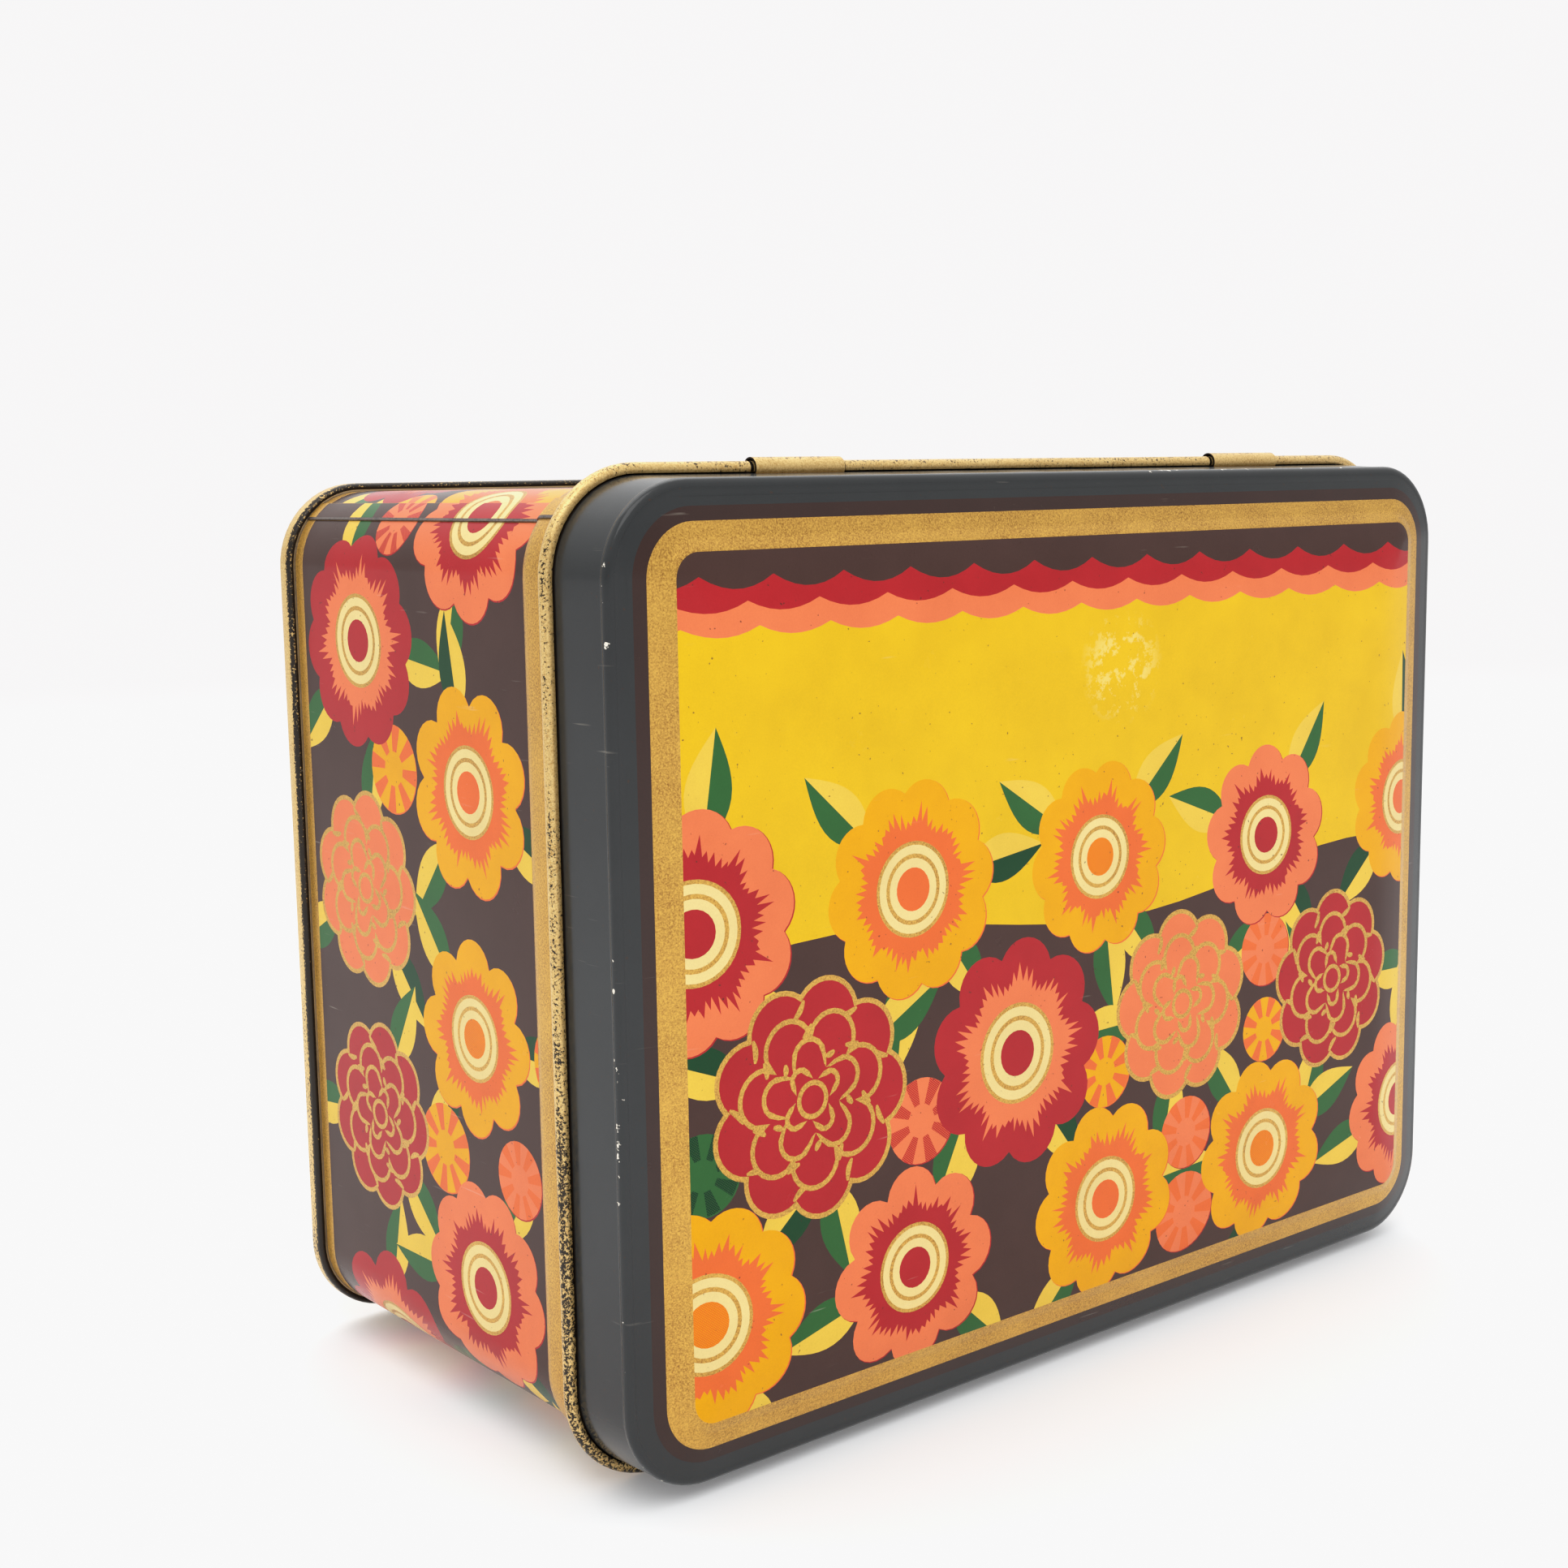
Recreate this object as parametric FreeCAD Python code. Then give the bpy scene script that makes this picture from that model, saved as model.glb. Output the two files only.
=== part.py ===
import FreeCAD, Part
import math
import os

# Hinged decorative tin standing on its long narrow side.
# +X runs along the long side, +Y from the lid to the base panel, +Z up.
# The origin is the bottom centre of the whole tin.
#
# Every ring-shaped feature is drawn as a section of points (out, depth):
#   out    distance outward from the datum rectangle, negative towards the middle
#   depth  distance behind the datum plane, negative in front of it
# The datum rectangle is the outer edge of the lid's gold border.

V = FreeCAD.Vector

# ---- driving dimensions, millimetres ----
FACE_W = 230.0            # datum rectangle, width
FACE_H = 175.6            # datum rectangle, height
FACE_R = 10.5             # datum rectangle, corner radius
SHEET = 0.3               # tinplate thickness

# lid
LID_EDGE_OUT = 7.75       # outermost point of the lid's front edge
LID_FLARE_OUT = 8.35      # skirt where it meets the curl
BEAD_OUT = 9.4            # centre line of the lid's curled edge, also the hinge axis
BEAD_DEPTH = 18.3
BEAD_R = 1.35
CREST_DEPTH = -2.95       # edge of the raised panel
DOME_DEPTH = -3.4         # middle of the raised panel
CREST_IN = 15.0           # crest of the raised panel, inside the datum rectangle
CREST_R = 7.0             # corner radius of that crest

# body
WALL_OUT = 5.9            # outside of the body wall
MOUTH_DEPTH = 4.5         # front edge of the body, hidden inside the lid
HEM = 5.0                 # length of the folded mouth edge
BAND_FRONT = 20.4         # stop bead: the swelling that the lid's curl closes against
BAND_BACK = 30.9
BAND_OUT = 7.1
SEAM_OUT = 7.7            # outside of the double seam round the base panel
SEAM_FRONT = 124.0
TIN_BACK = 128.5
BASE_DEPTH = 124.6        # sunk base panel, outer face
LAP_ANGLE = 39.0          # side seam, degrees round the upper left corner from the left wall
LAP_LENGTH = 5.0          # width of the lapped strip
LAP_PROUD = 0.35

# hinge
TAB_CENTRES = (-65.5, 70.0)
TAB_W = 22.5
TAB_GAP = 0.4             # between the curl and the knuckle round it
TAB_SHEET = 0.35
TAB_FOOT_DEPTH = 20.75    # back face of the knuckle's root, just inside the stop bead
SLIT_FRONT = 15.2         # front edge of the slit that lets each knuckle through the skirt
SLIT_SIDE = 0.8           # play beside each knuckle
WIRE_R = 0.9
WIRE_LENGTH = 196.0

# ---- placing the datum ----
Y_FACE = -(TIN_BACK + DOME_DEPTH) / 2.0
Z_MID = FACE_H / 2.0 + BEAD_OUT + BEAD_R
HINGE_Y = Y_FACE + BEAD_DEPTH
HINGE_Z = Z_MID + FACE_H / 2.0 + BEAD_OUT


def rounded(out, depth, radius=None):
    """A closed rounded rectangle, parallel to the datum rectangle."""
    r = FACE_R + out if radius is None else radius
    a = FACE_W / 2.0 + out
    b = FACE_H / 2.0 + out
    y = Y_FACE + depth
    edges = []
    corners = [(a - r, b - r, 0), (-a + r, b - r, 90), (-a + r, -b + r, 180), (a - r, -b + r, 270)]
    for i, (cx, cz, start) in enumerate(corners):
        def on_arc(angle, cx=cx, cz=cz):
            t = math.radians(angle)
            return V(cx + r * math.cos(t), y, Z_MID + cz + r * math.sin(t))
        edges.append(Part.Arc(on_arc(start), on_arc(start + 45), on_arc(start + 90)).toShape())
        nx, nz, following = corners[(i + 1) % 4]
        t = math.radians(following)
        end = V(nx + r * math.cos(t), y, Z_MID + nz + r * math.sin(t))
        edges.append(Part.makeLine(on_arc(start + 90), end))
    return Part.Wire(edges)


def stack(sections):
    """A solid through parallel rounded rectangles, each (out, depth) or (out, depth, radius)."""
    return Part.makeLoft([rounded(*s) for s in sections], True, True)


def ring(section):
    """A closed section of (out, depth) points swept round the tin as one band."""
    low = Z_MID - FACE_H / 2.0
    points = [V(0, Y_FACE + depth, low - out) for out, depth in section]
    profile = Part.makePolygon(points + [points[0]])
    spine = rounded(WALL_OUT, 0.0)
    start = Part.Wire(Part.sortEdges(spine.Edges)[0])
    return start.makePipeShell([profile], True, False)


def arc_points(out, depth, radius, start, end, steps):
    """Points round a curl, where 0 degrees points back and 90 points outward."""
    angles = [math.radians(start + (end - start) * i / steps) for i in range(steps + 1)]
    return [(out + radius * math.sin(t), depth + radius * math.cos(t)) for t in angles]


def block(x0, x1, y0, y1, z0, z1):
    return Part.makeBox(x1 - x0, y1 - y0, z1 - z0, V(x0, y0, z0))


def hinge_rod(radius, length, centre_x):
    return Part.makeCylinder(radius, length, V(centre_x - length / 2.0, HINGE_Y, HINGE_Z), V(1, 0, 0))


# ---- lid ----
LID_FACE = [
    (6.1, 1.22),
    (-3.2, -0.64),
    (-5.2, -1.15),
    (-9.0, -2.1, 3.5),
    (-CREST_IN, CREST_DEPTH, CREST_R),
    (-50.0, DOME_DEPTH, CREST_R),
]


def lid_shell():
    """Drawn lid: raised panel, sloped rim, flared skirt and curled edge."""
    outer = stack([
        (LID_FLARE_OUT, BEAD_DEPTH),
        (LID_FLARE_OUT, 16.8),
        (LID_EDGE_OUT, 2.75),
        (7.55, 1.95),
        (6.95, 1.42),
    ] + LID_FACE)
    inner = stack([
        (LID_FLARE_OUT - SHEET, BEAD_DEPTH + 1.0),
        (LID_FLARE_OUT - SHEET, 16.8),
        (LID_EDGE_OUT - SHEET, 2.85),
        (7.27, 2.15),
        (6.80, 1.72),
    ] + [(s[0], s[1] + SHEET) + tuple(s[2:]) for s in LID_FACE])
    curl = arc_points(BEAD_OUT, BEAD_DEPTH, BEAD_R, -100, 212, 26)
    curl += arc_points(BEAD_OUT, BEAD_DEPTH, BEAD_R - SHEET, 212, -100, 26)
    lid = outer.cut(inner).fuse(ring(curl))
    for centre in TAB_CENTRES:
        half = TAB_W / 2.0 + SLIT_SIDE
        slit = block(centre - half, centre + half, Y_FACE + SLIT_FRONT, HINGE_Y + BEAD_R,
                     HINGE_Z - 3.0, HINGE_Z)
        lid = lid.cut(slit.cut(hinge_rod(BEAD_R, 2 * half + 2.0, centre)))
    return lid


def hinge_wire():
    """Straight wire inside the curl along the hinge side."""
    return hinge_rod(WIRE_R, WIRE_LENGTH, sum(TAB_CENTRES) / 2.0)


# ---- body ----
def wall_section(grow=0.0):
    """Outside line of the wall, from behind the hem to just before the double seam."""
    return [
        (WALL_OUT + grow, BAND_FRONT),
        (6.75 + grow, BAND_FRONT + 0.5),
        (BAND_OUT + grow, BAND_FRONT + 1.9),
        (BAND_OUT + grow, BAND_BACK - 2.6),
        (6.75 + grow, BAND_BACK - 0.7),
        (WALL_OUT + grow, BAND_BACK),
    ]


def side_seam():
    """Lapped strip of the wrapped sheet, along the upper left corner."""
    outside = wall_section(LAP_PROUD) + [(WALL_OUT + LAP_PROUD, SEAM_FRONT - 0.1)]
    inside = wall_section(-SHEET / 2.0) + [(WALL_OUT - SHEET / 2.0, SEAM_FRONT - 0.1)]
    band = ring(outside + inside[::-1])
    radius = FACE_R + WALL_OUT
    cx = -FACE_W / 2.0 + FACE_R
    cz = Z_MID + FACE_H / 2.0 - FACE_R
    turn = math.degrees(LAP_LENGTH / radius)
    reach = 3.0 * radius
    low, high = math.radians(180.0 - LAP_ANGLE), math.radians(180.0 - LAP_ANGLE - turn)
    corner = V(cx, Y_FACE, cz)
    points = [corner] + [corner + V(reach * math.cos(t), 0, reach * math.sin(t)) for t in (low, high)]
    wedge = Part.Face(Part.makePolygon(points + [corner])).extrude(V(0, TIN_BACK, 0))
    return band.common(wedge)


def knuckle(centre):
    """Tab of the body sheet curled round the lid's bead."""
    inner = BEAD_R + TAB_GAP
    outer = inner + TAB_SHEET
    x0 = centre - TAB_W / 2.0
    curl = arc_points(0.0, 0.0, outer, 0, 240, 24) + arc_points(0.0, 0.0, inner, 240, 0, 24)
    foot = WALL_OUT - BEAD_OUT - SHEET / 2.0
    root = [(foot, inner), (foot, TAB_FOOT_DEPTH - BEAD_DEPTH), (-1.6, TAB_FOOT_DEPTH - BEAD_DEPTH)]
    line = [V(x0, HINGE_Y + depth, HINGE_Z + up) for up, depth in curl + root]
    return Part.Face(Part.makePolygon(line + [line[0]])).extrude(V(TAB_W, 0, 0))


def body_wall():
    """Printed sheet wrapped round, with hemmed mouth, stop bead, side seam and hinge knuckles."""
    inside = WALL_OUT - SHEET
    hook_out = WALL_OUT + 1.0
    section = [(WALL_OUT, MOUTH_DEPTH)] + wall_section() + [
        (WALL_OUT, TIN_BACK - 0.8),
        (hook_out - SHEET, TIN_BACK - 0.8),
        (hook_out - SHEET, TIN_BACK - 3.2),
        (hook_out, TIN_BACK - 3.2),
        (hook_out, TIN_BACK - 0.5),
        (inside, TIN_BACK - 0.5),
    ]
    section += [(out - SHEET, depth) for out, depth in wall_section()[::-1]]
    section += [
        (inside, MOUTH_DEPTH + HEM),
        (inside - SHEET, MOUTH_DEPTH + HEM - 0.3),
        (inside - SHEET, MOUTH_DEPTH),
    ]
    wall = ring(section).fuse(side_seam())
    for centre in TAB_CENTRES:
        wall = wall.fuse(knuckle(centre))
    return wall


def base_panel():
    """Sunk end panel, double-seamed over the body's back edge."""
    chuck = WALL_OUT - SHEET - 0.1
    leg = SEAM_OUT - 0.35
    section = [
        (chuck, BASE_DEPTH - SHEET),
        (chuck, TIN_BACK - SHEET),
        (leg, TIN_BACK - SHEET),
        (leg, SEAM_FRONT + 0.6),
        (WALL_OUT + 0.4, SEAM_FRONT + 0.6),
        (WALL_OUT + 0.4, TIN_BACK - 1.2),
        (WALL_OUT + 0.15, TIN_BACK - 1.2),
        (WALL_OUT + 0.15, SEAM_FRONT + 0.35),
        (WALL_OUT + 0.45, SEAM_FRONT),
        (SEAM_OUT - 0.5, SEAM_FRONT + 0.15),
        (SEAM_OUT, SEAM_FRONT + 0.9),
        (SEAM_OUT, TIN_BACK - 0.7),
        (SEAM_OUT - 0.6, TIN_BACK),
        (chuck - SHEET, TIN_BACK),
        (chuck - SHEET, BASE_DEPTH - SHEET),
    ]
    plate = stack([(chuck, BASE_DEPTH - SHEET), (chuck, BASE_DEPTH)])
    return ring(section).fuse(plate)


os.makedirs("parts", exist_ok=True)
nodes = {
    "body_wall": body_wall(),
    "base_panel": base_panel(),
    "lid_shell": lid_shell(),
    "hinge_wire": hinge_wire(),
}
for name, shape in nodes.items():
    box = shape.BoundBox
    print(name, "solids", len(shape.Solids), "valid", shape.isValid(), "volume", round(shape.Volume, 1),
          "x", round(box.XMin, 2), round(box.XMax, 2), "y", round(box.YMin, 2), round(box.YMax, 2),
          "z", round(box.ZMin, 2), round(box.ZMax, 2))
    shape.exportStep("parts/" + name + ".step")
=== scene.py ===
import math
import random

import bpy
import numpy as np
from mathutils import Matrix, Vector
from mathutils.geometry import delaunay_2d_cdt


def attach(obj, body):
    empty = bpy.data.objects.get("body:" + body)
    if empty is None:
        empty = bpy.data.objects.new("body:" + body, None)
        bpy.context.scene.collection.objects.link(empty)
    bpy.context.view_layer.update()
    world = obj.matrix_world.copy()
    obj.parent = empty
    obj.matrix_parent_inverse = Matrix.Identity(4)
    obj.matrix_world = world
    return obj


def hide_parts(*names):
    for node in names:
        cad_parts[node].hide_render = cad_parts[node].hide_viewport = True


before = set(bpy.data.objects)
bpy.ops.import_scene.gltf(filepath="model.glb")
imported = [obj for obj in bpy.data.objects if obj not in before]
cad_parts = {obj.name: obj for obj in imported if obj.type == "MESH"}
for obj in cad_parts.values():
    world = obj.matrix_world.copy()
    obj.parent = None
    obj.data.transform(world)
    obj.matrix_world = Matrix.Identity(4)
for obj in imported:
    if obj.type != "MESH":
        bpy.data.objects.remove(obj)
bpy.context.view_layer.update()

# Lengths are in millimetres until a mesh is made.
MM = 0.001
FACE_W = 230.0
FACE_H = 175.6
FACE_R = 10.5
TIN_BACK = 128.5
DOME = -3.4
BEAD_OUT = 9.4
BEAD_DEPTH = 18.3
BEAD_R = 1.35
CURL_ROWS = 26            # sections along the curl of the lid's edge
CURL_TURN = 302           # how far that edge is curled, in degrees
SHEET = 0.3
WALL_OUT = 5.9
Y_FACE = -(TIN_BACK + DOME) / 2
Z_MID = FACE_H / 2 + BEAD_OUT + BEAD_R
LAP_ANGLE = 39.0
LAP_LENGTH = 5.0
LAP_PROUD = 0.35
TAB_CENTRES = (-65.5, 70.0)
TAB_W = 22.5
TAB_SHEET = 0.35
KNUCKLE_R = 2.1           # outside of the hinge knuckles
SLIT_SIDE = 0.8
SLIT_FRONT = 15.2
BAND_BACK = 30.9
STRIP_FRONT = 120.7
STRIP_BACK = 124.0
BORDER = 5.5
STRIPE = 2.7


# ---------------------------------------------------------------- materials

def linear(value):
    """The linear value of an sRGB value from 0 to 255."""
    value /= 255
    return value / 12.92 if value <= 0.04045 else ((value + 0.055) / 1.055) ** 2.4


def colour(red, green, blue):
    return (linear(red), linear(green), linear(blue), 1.0)


class Finish:
    """One node material, with short names for the nodes that the finishes share."""

    def __init__(self, name):
        self.material = bpy.data.materials.new(name)
        self.material.use_nodes = True
        self.tree = self.material.node_tree
        self.shader = self.tree.nodes["Principled BSDF"]
        self.place = self.node("ShaderNodeTexCoord").outputs["Object"]

    def node(self, kind, inputs=None, **settings):
        made = self.tree.nodes.new(kind)
        for key, value in settings.items():
            setattr(made, key, value)
        for key, value in (inputs or {}).items():
            if isinstance(value, bpy.types.NodeSocket):
                self.tree.links.new(value, made.inputs[key])
            else:
                made.inputs[key].default_value = value
        return made

    def noise(self, size, detail=3.0, rough=0.5, where=None):
        """Noise from 0 to 1 whose blotches are about size millimetres across."""
        made = self.node("ShaderNodeTexNoise", {
            "Vector": where or self.place, "Scale": 1000.0 / size, "Detail": detail,
            "Roughness": rough})
        return made.outputs["Fac"]

    def stretched(self, x, y, z):
        """Object coordinates scaled along each axis, for streaks and scratches."""
        made = self.node("ShaderNodeMapping", {"Vector": self.place, "Scale": (x, y, z)})
        return made.outputs["Vector"]

    def ramp(self, value, low, high, to_low=0.0, to_high=1.0):
        made = self.node("ShaderNodeMapRange", {
            "Value": value, "From Min": low, "From Max": high, "To Min": to_low,
            "To Max": to_high})
        return made.outputs["Result"]

    def maths(self, operation, a, b):
        made = self.node("ShaderNodeMath", {0: a, 1: b}, operation=operation)
        return made.outputs[0]

    def mix(self, share, a, b, blend="MIX"):
        made = self.tree.nodes.new("ShaderNodeMix")
        made.data_type = "RGBA"
        made.blend_type = blend
        for index, value in ((0, share), (6, a), (7, b)):
            if isinstance(value, bpy.types.NodeSocket):
                self.tree.links.new(value, made.inputs[index])
            else:
                made.inputs[index].default_value = value
        return made.outputs[2]

    def bump(self, height, strength, distance, under=None):
        inputs = {"Height": height, "Strength": strength, "Distance": distance * MM}
        if under:
            inputs["Normal"] = under
        return self.node("ShaderNodeBump", inputs).outputs["Normal"]

    def set(self, **values):
        for key, value in values.items():
            socket = self.shader.inputs[key.replace("_", " ")]
            if isinstance(value, bpy.types.NodeSocket):
                self.tree.links.new(value, socket)
            else:
                socket.default_value = value


def scaled(rgba, factor):
    return tuple(channel * factor for channel in rgba[:3]) + (1.0,)


INK_LEVEL = 0.79


def enamel(name, rgba, gloss=0.2, specks=1.0, screen=None, ridge=None, scuff=None,
           level=0.13):
    """Lithographed ink under clear varnish: slight mottle, fine grain, pin specks and rubs."""
    f = Finish(name)
    mottle = f.noise(14.0, 4.0, 0.6)
    grain = f.noise(0.32, 2.0, 0.6)
    rgba = scaled(rgba, INK_LEVEL)
    base = rgba
    if screen:
        screen = scaled(screen, INK_LEVEL)
        turned = f.node("ShaderNodeUVMap", uv_map="print").outputs["UV"]
        turned = f.node("ShaderNodeMapping", {
            "Vector": turned, "Rotation": (0, 0, math.radians(38)),
            "Scale": (2.7, 2.7, 2.7)}).outputs["Vector"]
        dots = f.node("ShaderNodeTexVoronoi", {
            "Vector": turned, "Scale": 1.0, "Randomness": 0.0}, voronoi_dimensions="2D")
        dot = f.ramp(dots.outputs["Distance"], 0.44, 0.54)
        base = f.mix(dot, rgba, screen)
    shade = f.ramp(mottle, 0.3, 0.7, 0.93, 1.05)
    shade = f.maths("MULTIPLY", shade, f.ramp(grain, 0.25, 0.75, 0.95, 1.05))
    tint = f.node("ShaderNodeCombineColor", {"Red": shade, "Green": shade, "Blue": shade})
    inked = f.mix(1.0, base, tint.outputs[0], "MULTIPLY")
    pits = f.ramp(f.noise(0.9, 1.0, 0.4), 0.765 - 0.02 * specks, 0.80, 0.0, 0.75)
    inked = f.mix(pits, inked, colour(60, 44, 36))
    rubs = f.noise(1.0, 2.0, 0.5, f.stretched(0.06, 0.06, 0.9))
    rubs = f.maths("MULTIPLY", f.ramp(rubs, 0.70, 0.76), f.ramp(f.noise(22.0), 0.5, 0.62))
    inked = f.mix(f.maths("MULTIPLY", rubs, 0.14), inked, colour(232, 222, 204))
    if ridge:
        across = f.node("ShaderNodeSeparateXYZ", {"Vector": f.place}).outputs["Y"]
        near = f.maths("ABSOLUTE", f.maths("SUBTRACT", across, ridge * MM), 0.0)
        near = f.ramp(near, 1.3 * MM, 0.2 * MM, 0.0, 0.16)
        chip = f.maths("ADD", f.noise(2.2, 4.0, 0.6), near)
        chip = f.maths("ADD", chip, f.ramp(f.noise(30.0, 2.0), 0.4, 0.65, -0.1, 0.02))
        inked = f.mix(f.ramp(chip, 0.755, 0.775), inked, colour(236, 228, 212))
    if scuff:
        flat = f.stretched(1.0, 0.0, 1.0)
        away = f.node("ShaderNodeVectorMath", {0: flat, 1: (scuff[0] * MM, 0.0, scuff[1] * MM)},
                      operation="DISTANCE").outputs["Value"]
        marks = f.ramp(f.noise(3.4, 6.0, 0.75), 0.53, 0.58, 0.0, 0.42)
        marks = f.maths("MULTIPLY", marks, f.ramp(away, 7.0 * MM, 13.0 * MM, 1.0, 0.0))
        inked = f.mix(marks, inked, colour(244, 226, 150))
    rough = f.ramp(f.noise(9.0, 5.0, 0.65), 0.25, 0.75, gloss - 0.05, gloss + 0.09)
    waves = f.bump(f.noise(28.0, 1.0), 0.12, 1.0)
    skin = f.bump(f.noise(0.5, 2.0), 0.05, 0.1, waves)
    f.set(Base_Color=inked, Roughness=rough, Normal=skin, Metallic=0.0, Specular_IOR_Level=level)
    return f.material


def gold_ink(name, light, dark, wear=0.0, crest=None):
    """Bronze-powder ink: a salt-and-pepper grain, with black showing where it has worn; along a
    given crest the black is partly painted shade.
    """
    f = Finish(name)
    light, dark = scaled(light, INK_LEVEL), scaled(dark, INK_LEVEL)
    grain = f.noise(0.36, 3.0, 0.75)
    cloud = f.noise(11.0, 3.0)
    base = f.mix(f.ramp(grain, 0.36, 0.64), dark, light)
    base = f.mix(f.ramp(cloud, 0.35, 0.7, 0.0, 0.3), base, scaled(light, 1.1))
    if wear:
        chips = f.noise(0.55, 6.0, 0.7)
        patches = f.noise(15.0, 3.0, 0.6)
        place = f.node("ShaderNodeSeparateXYZ", {"Vector": f.place})
        low = f.ramp(place.outputs["Z"], 0.14, 0.04, 0.0, 0.12)
        edge = f.maths("ADD", chips, f.ramp(patches, 0.35, 0.7, -0.04, 0.05))
        edge = f.maths("ADD", edge, low)
        # The crest adds black along one line of Y: on the lid's curl that is wear, on the base
        # seam it is painted shade towards the crease.
        if crest:
            off = f.maths("SUBTRACT", place.outputs["Y"], crest[0] * MM)
            side = f.ramp(f.maths("ABSOLUTE", off, 0.0), 0.0, crest[1] * MM, crest[2], -0.1)
            edge = f.maths("ADD", edge, side)
        worn = f.ramp(edge, 0.66 - 0.1 * wear, 0.685 - 0.1 * wear)
        base = f.mix(worn, base, colour(40, 33, 26))
    rough = f.ramp(grain, 0.3, 0.7, 0.26, 0.44)
    rise = f.bump(grain, 0.12, 0.08)
    f.set(Base_Color=base, Roughness=rough, Normal=rise, Metallic=0.5)
    return f.material


def bare_steel(name, rgba, rough_low, rough_high):
    """Plain tinplate or wire: brushed streaks, tarnish and a few rust pin points."""
    f = Finish(name)
    streak = f.noise(1.2, 3.0, 0.6, f.stretched(0.05, 1.0, 1.0))
    cloud = f.noise(16.0, 4.0)
    base = f.mix(f.ramp(cloud, 0.35, 0.7), rgba, scaled(rgba, 0.72))
    base = f.mix(f.ramp(f.noise(1.1, 2.0), 0.72, 0.78), base, colour(112, 70, 40))
    rough = f.ramp(streak, 0.25, 0.75, rough_low, rough_high)
    f.set(Base_Color=base, Roughness=rough, Normal=f.bump(streak, 0.08, 0.05), Metallic=0.9)
    return f.material


INKS = {
    "grey": enamel("ink_grey", colour(50, 52, 53), 0.17, 1.5, ridge=Y_FACE + 2.6, level=0.3),
    "stripe": enamel("ink_stripe", colour(58, 38, 33), 0.2, level=0.3),
    "gold": gold_ink("ink_gold", colour(240, 186, 84), colour(160, 112, 44)),
    "ground": enamel("ink_ground", colour(78, 56, 51)),
    "crimson": enamel("ink_crimson", colour(184, 40, 46)),
    "coral": enamel("ink_coral", colour(255, 130, 82)),
    "orange": enamel("ink_orange", colour(252, 114, 54)),
    "sky": enamel("ink_sky", colour(250, 196, 24), scuff=(6.0, 153.0)),
    "yellow": enamel("ink_yellow", colour(255, 174, 0)),
    "cream": enamel("ink_cream", colour(255, 226, 150)),
    "green": enamel("ink_green", colour(52, 104, 54)),
    "fern": enamel("ink_fern", colour(28, 72, 42)),
    "straw": enamel("ink_straw", colour(252, 206, 76)),
    "crimson_dots": enamel("ink_crimson_dots", colour(190, 38, 42),
                           screen=colour(254, 126, 74)),
    "orange_dots": enamel("ink_orange_dots", colour(252, 116, 30),
                          screen=colour(255, 174, 0)),
    "green_dots": enamel("ink_green_dots", colour(20, 54, 34),
                         screen=colour(52, 104, 54)),
    "worn_gold": gold_ink("worn_gold", colour(255, 220, 148), colour(206, 158, 84), 1.0,
                          (-44.95, 1.3, 0.03)),
    # The base seam: rubbed gold, with a crest of painted shade along its front next to the
    # crease.
    "seam_wear_and_shade": gold_ink("seam_wear_and_shade", colour(255, 220, 148), colour(206, 158, 84), 1.0,
                          (61.9, 1.35, 0.24)),
    # Painted shade: a near-black ink for creases, the hidden insides of curls and the cut sides
    # of gaps.
    "painted_shade": enamel("ink_painted_shade", colour(34, 27, 22), 0.5),
    # The lap's edge: rubbed dark ink, also used for a painted shadow line along the step.
    "seam_edge": gold_ink("lap_wear_and_shadow", colour(122, 104, 94), colour(48, 40, 36), 1.2),
    "tin": bare_steel("bare_tin", colour(206, 202, 192), 0.3, 0.5),
}
SLOT_ORDER = list(INKS)


# ------------------------------------------------------------ printed shapes

# The ink that shows where a colour is printed a little out of register.
EDGES = {"coral": "crimson", "yellow": "orange", "fern": "green"}


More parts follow.
